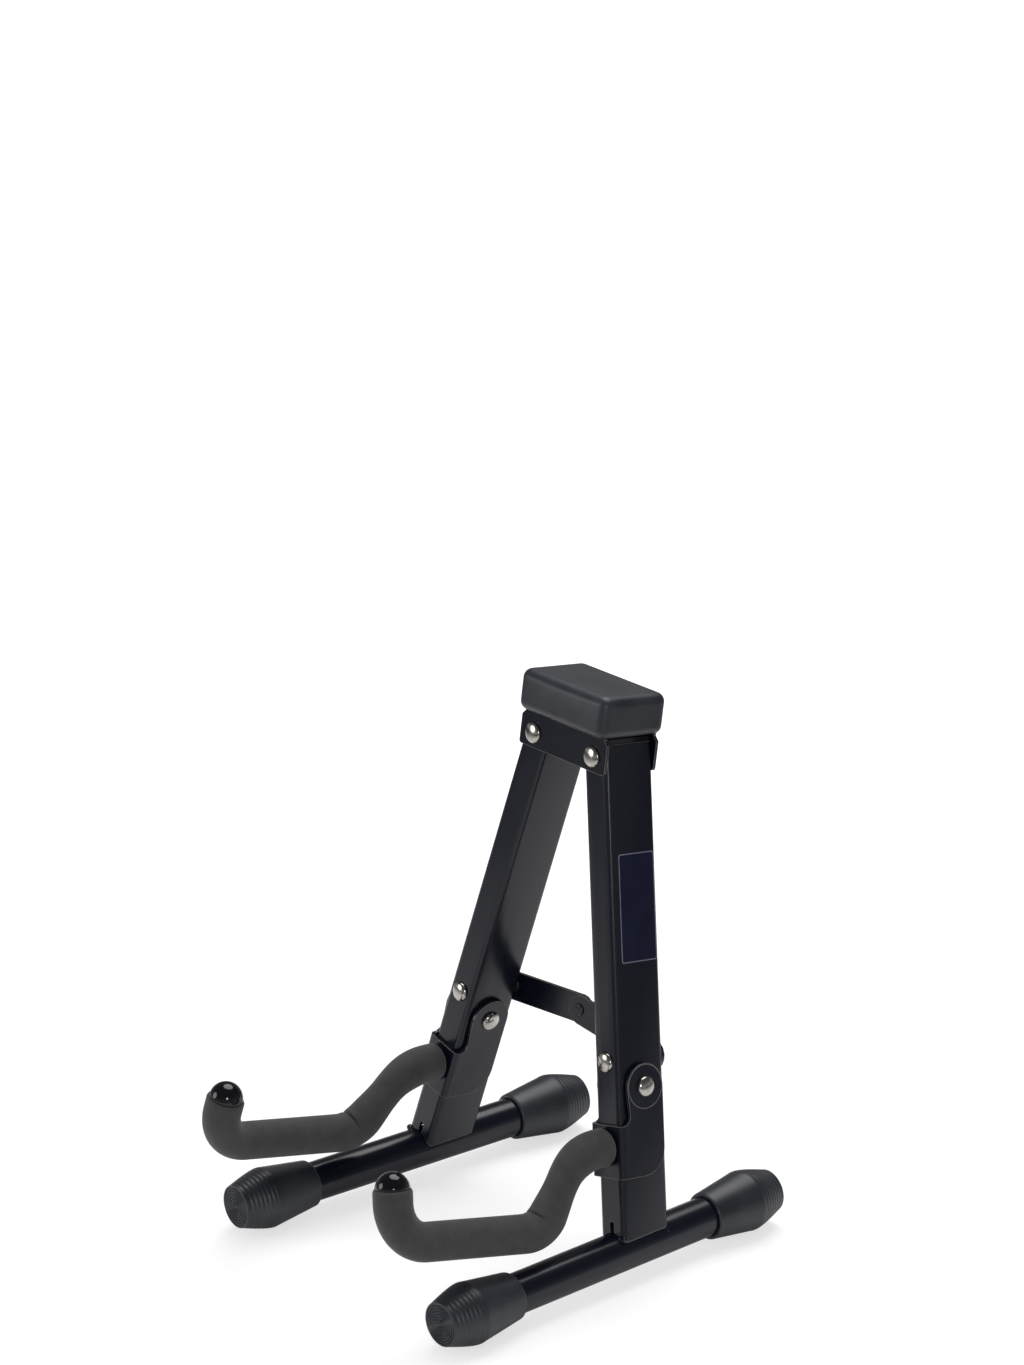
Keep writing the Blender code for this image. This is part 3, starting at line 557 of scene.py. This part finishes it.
def cut(part, low, high, place):
    """Cuts a block given in a local frame from a piece, and keeps only the result."""
    solid = bmesh.new()
    bmesh.ops.create_cube(solid, size=1)
    low, high = Vector(low), Vector(high)
    solid.transform(place @ Matrix.Translation((low + high) / 2) @ Matrix.Diagonal((*(high - low), 1)))
    mesh = bpy.data.meshes.new("cutter")
    solid.to_mesh(mesh)
    solid.free()
    cutter = bpy.data.objects.new("cutter", mesh)
    bpy.context.scene.collection.objects.link(cutter)
    modifier = part.modifiers.new("pocket", "BOOLEAN")
    modifier.solver = "EXACT"
    modifier.object = cutter
    bpy.context.view_layer.update()
    shaped = bpy.data.meshes.new_from_object(part.evaluated_get(bpy.context.evaluated_depsgraph_get()))
    part.modifiers.clear()
    part.data = shaped
    bpy.data.objects.remove(cutter)


def smoothing():
    """A node group that shades curved faces smooth and keeps edges over 30 degrees sharp."""
    group = bpy.data.node_groups.new("smooth_curves", "GeometryNodeTree")
    group.interface.new_socket("Geometry", in_out="INPUT", socket_type="NodeSocketGeometry")
    group.interface.new_socket("Geometry", in_out="OUTPUT", socket_type="NodeSocketGeometry")
    start = add_node(group, "NodeGroupInput").outputs[0]
    angle = add_node(group, "GeometryNodeInputMeshEdgeAngle").outputs["Unsigned Angle"]
    settings = {"operation": "GREATER_THAN", 1: math.radians(30)}
    sharp = add_node(group, "FunctionNodeCompare", settings, {0: angle})
    faces = add_node(group, "GeometryNodeSetShadeSmooth", {"domain": "FACE"}, {"Geometry": start})
    faces.inputs["Shade Smooth"].default_value = True
    links = {"Geometry": faces.outputs[0], "Selection": sharp.outputs[0]}
    edges = add_node(group, "GeometryNodeSetShadeSmooth", {"domain": "EDGE"}, links)
    edges.inputs["Shade Smooth"].default_value = False
    add_node(group, "NodeGroupOutput", links={0: edges.outputs[0]})
    return group


class STAND_OT_steelwork(bpy.types.Operator):
    """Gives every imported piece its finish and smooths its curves"""

    bl_idname = "stand.steelwork"
    bl_label = "Steelwork"

    def execute(self, context):
        slots = {row["node"]: row["material_slot"] for row in frame["record"]["subparts"]}
        group = smoothing()
        for name, node in frame["nodes"].items():
            node.data.materials.clear()
            node.data.materials.append(finish_of(slots[name]))
            normals = node.data.attributes.get("custom_normal")
            if normals:
                node.data.attributes.remove(normals)
            weld = node.modifiers.new("weld", "WELD")
            weld.merge_threshold = 0.005 * MM
            shade = node.modifiers.new("smooth curves", "NODES")
            shade.node_group = group
        return {"FINISHED"}


class STAND_OT_foam_arms(bpy.types.Operator):
    """Makes the wrinkled foam sleeves and the glossy balls on their tips"""

    bl_idname = "stand.foam_arms"
    bl_label = "Foam arms"

    def execute(self, context):
        sizes = context.scene.stand_sizes
        for side_name, side in SIDES:
            place = arm_matrix(side_name, side)
            body = "arm_" + side_name
            replaced = ("foam_sleeve_" + side_name,)
            foam = foam_sleeve(sizes)
            sleeve = piece("foam_" + side_name, foam, place, body, "foam", replaced=replaced, sharp_angle=70)
            radius, depth, socket = 8 * MM, 5 * MM, ROD_RADIUS + CLEAR
            profile = [(0, depth), (socket, depth), (socket, CLEAR), (radius - 0.2 * MM, CLEAR)]
            crown = [(max(r, 0), max(up, 0.5 * MM)) for r, up in dome(radius, radius, 16)]
            profile += crown[1:-1] + [(0, radius)]
            ball = turned(profile, 56)
            tip = Matrix.Translation((0, PLATE_FRONT - ARM_CORNERS[-1][0], ARM_ROOT - ARM_TIP_DROP))
            replaced = ("arm_ball_cap_" + side_name,)
            piece("ball_" + side_name, ball, place @ tip, body, "plastic", replaced=replaced)
        return {"FINISHED"}


class STAND_OT_foot_caps(bpy.types.Operator):
    """Makes the four rubber foot caps with their rings and grooves"""

    bl_idname = "stand.foot_caps"
    bl_label = "Foot caps"

    def execute(self, context):
        sizes = context.scene.stand_sizes
        for side_name, side in SIDES:
            place = foot_matrix(side_name, side)
            for end, reach in FOOT_REACH.items():
                cap = turned(cap_profile(sizes), 96)
                if reach > 0:
                    cap.transform(Matrix.Rotation(math.pi, 4, "Y"))
                cap.transform(Matrix.Translation((0, 0, reach)))
                name = "cap_%s_%s" % (end, side_name)
                replaced = ("foot_cap_%s_%s" % (end, side_name),)
                piece(name, cap, place, "leg_" + side_name, "rubber", replaced=replaced, sharp_angle=50)
        return {"FINISHED"}


class STAND_OT_rivets(bpy.types.Operator):
    """Makes the domed rivets at the arm, brace and head pivots"""

    bl_idname = "stand.rivets"
    bl_label = "Rivets"

    def execute(self, context):
        for side_name, side in SIDES:
            leg = leg_matrix(side_name, side)
            body = "leg_" + side_name
            pin = pointed(rivet(3 * MM, 4.8 * MM, 2.3 * MM, -ARM_GRIP, ARM_GRIP), (1, 0, 0))
            place = leg @ Matrix.Translation((0, 0, ARM_PIVOT_UP - LEG_LENGTH))
            replaced = ("arm_pivot_rivet_" + side_name,)
            piece("arm_rivet_" + side_name, pin, place, body, "bright_steel", replaced=replaced)
            back = 16.2 * MM if side > 0 else 18.1 * MM
            pin = pointed(rivet(2.5 * MM, 4.7 * MM, 2 * MM, -COLUMN_HALF_DEPTH - CLEAR, back), (0, 1, 0))
            place = leg @ Matrix.Translation((0, 0, BRACE_PIVOT_UP - LEG_LENGTH))
            replaced = ("brace_rivet_" + side_name,)
            piece("link_rivet_" + side_name, pin, place, body, "bright_steel", replaced=replaced)
            pin = pointed(rivet(3 * MM, 5 * MM, 2 * MM, -HEAD_GRIP, HEAD_GRIP), (0, 1, 0))
            place = Matrix.Translation(leg.translation) @ Matrix.Rotation(-RAKE, 4, "X")
            replaced = ("head_pivot_rivet_" + side_name,)
            piece("head_rivet_" + side_name, pin, place, "head", "bright_steel", replaced=replaced)
        return {"FINISHED"}


class STAND_OT_backrest(bpy.types.Operator):
    """Makes the moulded rubber backrest over the head's neck"""

    bl_idname = "stand.backrest"
    bl_label = "Backrest"

    def execute(self, context):
        place = head_matrix()
        low, high = (-30.1 * MM, -20 * MM, 9.6 * MM), (30.1 * MM, 18.6 * MM, 29.6 * MM)
        solid = rounded_block(low, high, 4.5 * MM, 0.8 * MM)
        pad = piece("backrest", solid, place, "head", "rubber", replaced=("backrest_pad",), sharp_angle=60)
        cut(pad, (-28 * MM, -16 * MM, 4 * MM), (28 * MM, 16 * MM, 15.6 * MM), place)
        return {"FINISHED"}


class STAND_OT_small_details(bpy.types.Operator):
    """Adds the blank label and border, the pressed circles round the arm rivets and the weld beads"""

    bl_idname = "stand.small_details"
    bl_label = "Small details"

    def execute(self, context):
        sizes = context.scene.stand_sizes
        label_middle = Vector((COLUMN_HALF_WIDTH, 1.5 * MM, 156.9 * MM - LEG_LENGTH))
        leg = leg_matrix("right", 1)
        half_wide, half_tall = sizes.label_width / 2, sizes.label_height / 2
        film = 0.1 * MM
        layers = (("label_border", 0.0, film, "label_edge"), ("label_film", 0.45 * MM, film * 1.6, "label"))
        for name, inset, thick, finish in layers:
            solid = bmesh.new()
            corners = []
            radius = 1.2 * MM - inset * 0.5
            for sign_y, sign_z, start in ((1, 1, 0), (-1, 1, 90), (-1, -1, 180), (1, -1, 270)):
                for step in range(7):
                    angle = math.radians(start + 15 * step)
                    across = sign_y * (half_wide - inset - radius) + radius * math.cos(angle)
                    up = sign_z * (half_tall - inset - radius) + radius * math.sin(angle)
                    corners.append(label_middle + Vector((0, across, up)))
            face = solid.faces.new([solid.verts.new(corner) for corner in corners])
            lifted = bmesh.ops.extrude_face_region(solid, geom=[face])["geom"]
            moved = [vert for vert in lifted if isinstance(vert, bmesh.types.BMVert)]
            bmesh.ops.translate(solid, verts=moved, vec=(thick, 0, 0))
            piece(name, solid, leg, "leg_right", "painted_steel", finish=finish)
        for side_name, side in SIDES:
            inner, outer, sunk, low, high = 9.9 * MM, 10.4 * MM, -0.2 * MM, 0.1 * MM, 0.22 * MM
            rim = [(inner, sunk), (inner, low), ((inner + outer) / 2, high), (outer, low), (outer, sunk)]
            ring = turned([*rim, rim[0]], 96)
            bmesh.ops.remove_doubles(ring, verts=ring.verts, dist=1e-7)
            ring = pointed(ring, (side, 0, 0), (side * (ARM_GRIP - CLEAR), 0, 0))
            place, body = arm_matrix(side_name, side), "arm_" + side_name
            piece("pressed_circle_" + side_name, ring, place, body, "painted_steel")
            leg = leg_matrix(side_name, side)
            for spot, back in enumerate((-COLUMN_HALF_DEPTH, COLUMN_HALF_DEPTH)):
                bead = bmesh.new()
                bmesh.ops.create_uvsphere(bead, u_segments=28, v_segments=16, radius=sizes.weld_radius)
                for vert in bead.verts:
                    lump = math.sin(vert.co.x * 2100 + spot) * math.sin(vert.co.y * 1700 + side) * 0.12
                    vert.co = Vector((vert.co.x * 1.1, vert.co.y, vert.co.z * 0.8)) * (1 + lump)
                across = side * (COLUMN_HALF_WIDTH - 1.2 * MM)
                up = 5.2 * MM - LEG_LENGTH
                bead.transform(Matrix.Translation((across, back * 0.97, up)))
                name = "weld_bead_%d_%s" % (spot + 1, side_name)
                piece(name, bead, leg, "leg_" + side_name, "painted_steel")
        return {"FINISHED"}


class STAND_OT_stage(bpy.types.Operator):
    """Puts down the pale floor, the soft lamps and the camera"""

    bl_idname = "stand.stage"
    bl_label = "Stage"

    def execute(self, context):
        scene = context.scene
        scene.view_settings.view_transform = "Standard"
        floor_mesh = bpy.data.meshes.new("floor")
        floor_mesh.from_pydata([(-9, -9, 0), (9, -9, 0), (9, 9, 0), (-9, 9, 0)], [], [(0, 1, 2, 3)])
        floor = bpy.data.objects.new("floor", floor_mesh)
        scene.collection.objects.link(floor)
        floor_mesh.materials.append(self.paper(scene.stand_colours.floor))
        self.light_world(scene)
        for name, place, size, power in (
            ("overhead_softbox", (-0.3, 0.5, 1.5), 1.3, 18),
            ("camera_side_softbox", (1.5, -0.9, 0.75), 0.35, 6),
            ("front_fill", (-1.0, -1.4, 0.6), 0.9, 8),
        ):
            lamp = bpy.data.lights.new(name, "AREA")
            lamp.shape = "DISK"
            lamp.size = size
            lamp.energy = power
            holder = bpy.data.objects.new(name, lamp)
            holder.location = place
            aim = Vector((0, 0, 0.1)) - Vector(place)
            holder.rotation_euler = aim.to_track_quat("-Z", "Y").to_euler()
            scene.collection.objects.link(holder)
        self.place_camera(scene)
        return {"FINISHED"}

    def paper(self, tone):
        """A white paper sweep: it looks white and still takes the stand's shadow."""
        material, tree, shader = new_material("white_paper_sweep", Roughness=0.9, Specular_IOR_Level=0.1)
        place = add_node(tree, "ShaderNodeTexCoord").outputs["Object"]
        away = add_node(tree, "ShaderNodeVectorMath", {"operation": "LENGTH"}, {0: place}).outputs["Value"]
        # the lit paper is small: its far part gives little light back to the stand
        settings = {"From Min": 0.25, "From Max": 1.1, "To Min": 0.0, "To Max": 1.0}
        far = add_node(tree, "ShaderNodeMapRange", settings, {"Value": away}).outputs["Result"]
        tree.links.new(between(tree, far, tone, (0.09, 0.09, 0.1, 1), 0.0, 1.0), shader.inputs["Base Color"])
        grain = between(tree, cloud(tree, 40 * MM), (0.40, 0.40, 0.40, 1), (0.42, 0.42, 0.42, 1))
        matt = add_node(tree, "ShaderNodeBsdfDiffuse", links={"Color": grain})
        glow = add_node(tree, "ShaderNodeEmission", links={"Strength": uneven(tree, far, 0.64, 0.96)})
        shown = add_node(tree, "ShaderNodeAddShader", links={0: matt.outputs[0], 1: glow.outputs[0]})
        path = add_node(tree, "ShaderNodeLightPath").outputs["Is Camera Ray"]
        links = {0: path, 1: shader.outputs[0], 2: shown.outputs[0]}
        mix = add_node(tree, "ShaderNodeMixShader", links=links)
        output = tree.nodes["Material Output"]
        tree.links.new(mix.outputs[0], output.inputs["Surface"])
        return material

    def light_world(self, scene):
        """Even soft light from all round, white behind the stand and dim in reflections."""
        world = scene.world or bpy.data.worlds.new("studio")
        scene.world = world
        world.use_nodes = True
        tree = world.node_tree
        background = tree.nodes["Background"]
        background.inputs["Color"].default_value = (1, 1, 1, 1)
        # the studio round the paper is dim, and dimmer towards its ceiling, which gloss and metal show
        path = add_node(tree, "ShaderNodeLightPath").outputs
        way = add_node(tree, "ShaderNodeTexCoord").outputs["Generated"]
        up = add_node(tree, "ShaderNodeSeparateXYZ", links={0: way}).outputs["Z"]
        settings = {"From Min": 0.02, "From Max": 0.35, "To Min": 0.4, "To Max": 0.1}
        room = add_node(tree, "ShaderNodeMapRange", settings, {"Value": up}).outputs["Result"]
        links = {0: path["Is Glossy Ray"], 1: path["Is Transmission Ray"]}
        mirrored = add_node(tree, "ShaderNodeMath", {"operation": "MAXIMUM"}, links).outputs[0]
        even = add_node(tree, "ShaderNodeMix", {2: 0.5}, {0: mirrored, 3: room}).outputs[0]
        level = add_node(tree, "ShaderNodeMix", {3: 1.0}, {0: path["Is Camera Ray"], 2: even}).outputs[0]
        tree.links.new(level, background.inputs["Strength"])

    def place_camera(self, scene):
        """The camera where the photograph was taken from, fitted to the stand's own edges."""
        camera_data = bpy.data.cameras.new("camera")
        camera_data.lens = 117.1
        camera_data.sensor_width = 36
        camera = bpy.data.objects.new("camera", camera_data)
        camera.location = (1454.8 * MM, -1189.7 * MM, 937.4 * MM)
        azimuth, elevation = math.radians(50.382), math.radians(19.398)
        level = math.cos(elevation)
        back = Vector((math.sin(azimuth) * level, -math.cos(azimuth) * level, math.sin(elevation)))
        camera.rotation_euler = (-back).to_track_quat("-Z", "Y").to_euler()
        scene.collection.objects.link(camera)
        scene.camera = camera


STEPS = (
    STAND_OT_steelwork,
    STAND_OT_foam_arms,
    STAND_OT_foot_caps,
    STAND_OT_rivets,
    STAND_OT_backrest,
    STAND_OT_small_details,
    STAND_OT_stage,
)


class STAND_PT_panel(bpy.types.Panel):
    """Lists the stand's building steps, colours and sizes"""

    bl_label = "Ukulele Stand"
    bl_idname = "STAND_PT_panel"
    bl_space_type = "VIEW_3D"
    bl_region_type = "UI"
    bl_category = "Stand"

    def draw(self, context):
        for step in STEPS:
            self.layout.operator(step.bl_idname)
        for group in (context.scene.stand_colours, context.scene.stand_sizes):
            for key in group.__annotations__:
                self.layout.prop(group, key)


CLASSES = (StandColours, StandSizes, *STEPS, STAND_PT_panel)


def register():
    for made in CLASSES:
        bpy.utils.register_class(made)
    bpy.types.Scene.stand_colours = bpy.props.PointerProperty(type=StandColours)
    bpy.types.Scene.stand_sizes = bpy.props.PointerProperty(type=StandSizes)


def unregister():
    del bpy.types.Scene.stand_sizes
    del bpy.types.Scene.stand_colours
    for made in reversed(CLASSES):
        bpy.utils.unregister_class(made)


def main():
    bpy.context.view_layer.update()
    register()
    for step in STEPS:
        area, name = step.bl_idname.split(".")
        getattr(getattr(bpy.ops, area), name)()


if __name__ == "__main__":
    main()
